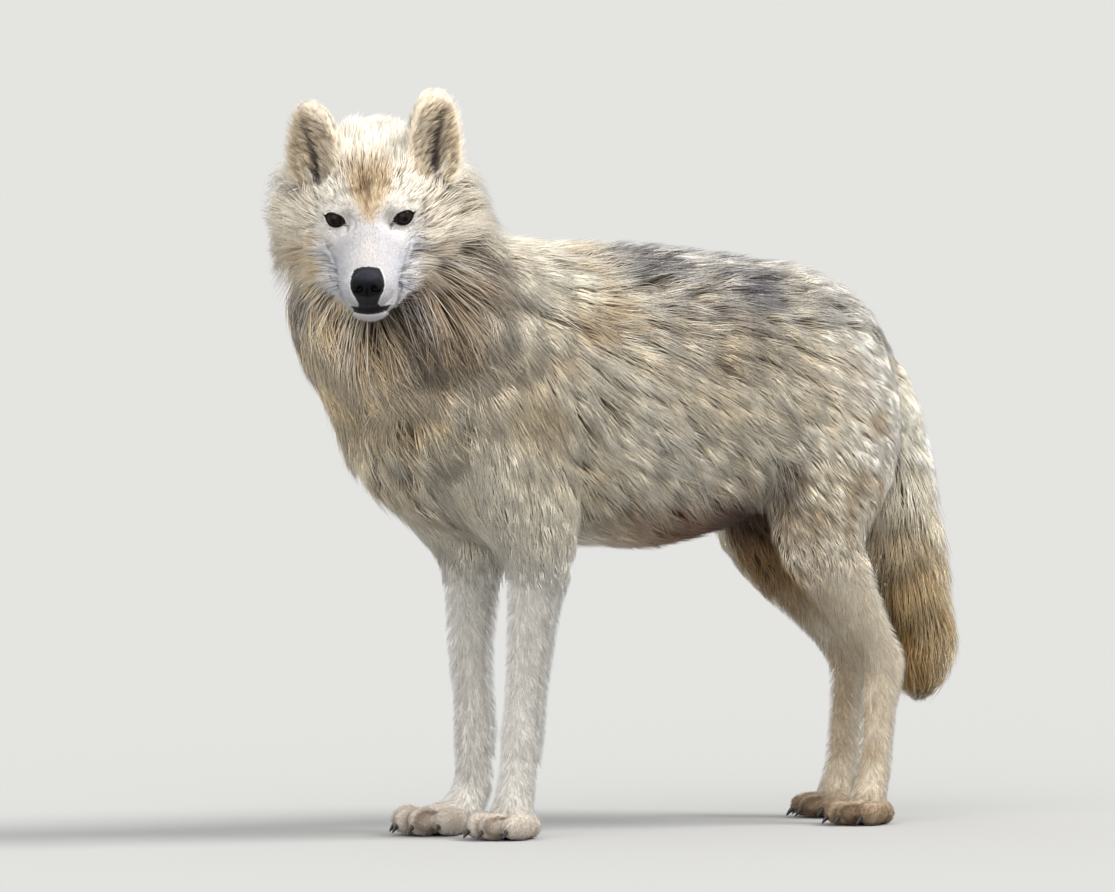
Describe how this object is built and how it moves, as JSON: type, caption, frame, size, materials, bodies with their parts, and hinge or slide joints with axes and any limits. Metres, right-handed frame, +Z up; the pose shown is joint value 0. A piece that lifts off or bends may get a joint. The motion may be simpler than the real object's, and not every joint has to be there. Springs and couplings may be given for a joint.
{
  "type": "arctic wolf",
  "caption": "Life-size standing arctic wolf in its pale coat, head turned to its left, four paws flat on the ground and brush tail hanging down",
  "frame": {"origin": "on the ground, under the middle of the wolf's bounding box", "axes": "+Z up, -Y the way the wolf's body points (chest and head end), +X the wolf's left side; the body's length runs along Y"},
  "size_m": [0.3254, 1.015, 0.9363],
  "materials": {
    "body_fur": "long dense cream coat, greyer along the back",
    "ruff_fur": "long cream and tan ruff",
    "face_fur": "short pale face fur, tan on the forehead",
    "ear_fur": "short fur, grey-brown inside the ear",
    "leg_fur": "short white to cream leg fur",
    "paw_fur": "short fur over the toes, with dark claws",
    "tail_fur": "cream brush with a golden-brown lower edge",
    "eye": "wet dark brown eye",
    "nose": "black, damp nose leather"
  },
  "bodies": {
    "root": {"trunk": "body_fur", "neck": "ruff_fur", "head": "face_fur", "lower_jaw": "face_fur", "nose": "nose", "ear_left": "ear_fur", "ear_right": "ear_fur", "eye_left": "eye", "eye_right": "eye", "tail": "tail_fur", "upper_arm_left": "body_fur", "forearm_left": "leg_fur", "wrist_left": "leg_fur", "forepaw_left": "paw_fur", "thigh_left": "body_fur", "gaskin_left": "leg_fur", "hock_left": "leg_fur", "hindpaw_left": "paw_fur", "upper_arm_right": "body_fur", "forearm_right": "leg_fur", "wrist_right": "leg_fur", "forepaw_right": "paw_fur", "thigh_right": "body_fur", "gaskin_right": "leg_fur", "hock_right": "leg_fur", "hindpaw_right": "paw_fur"}
  },
  "joints": []
}
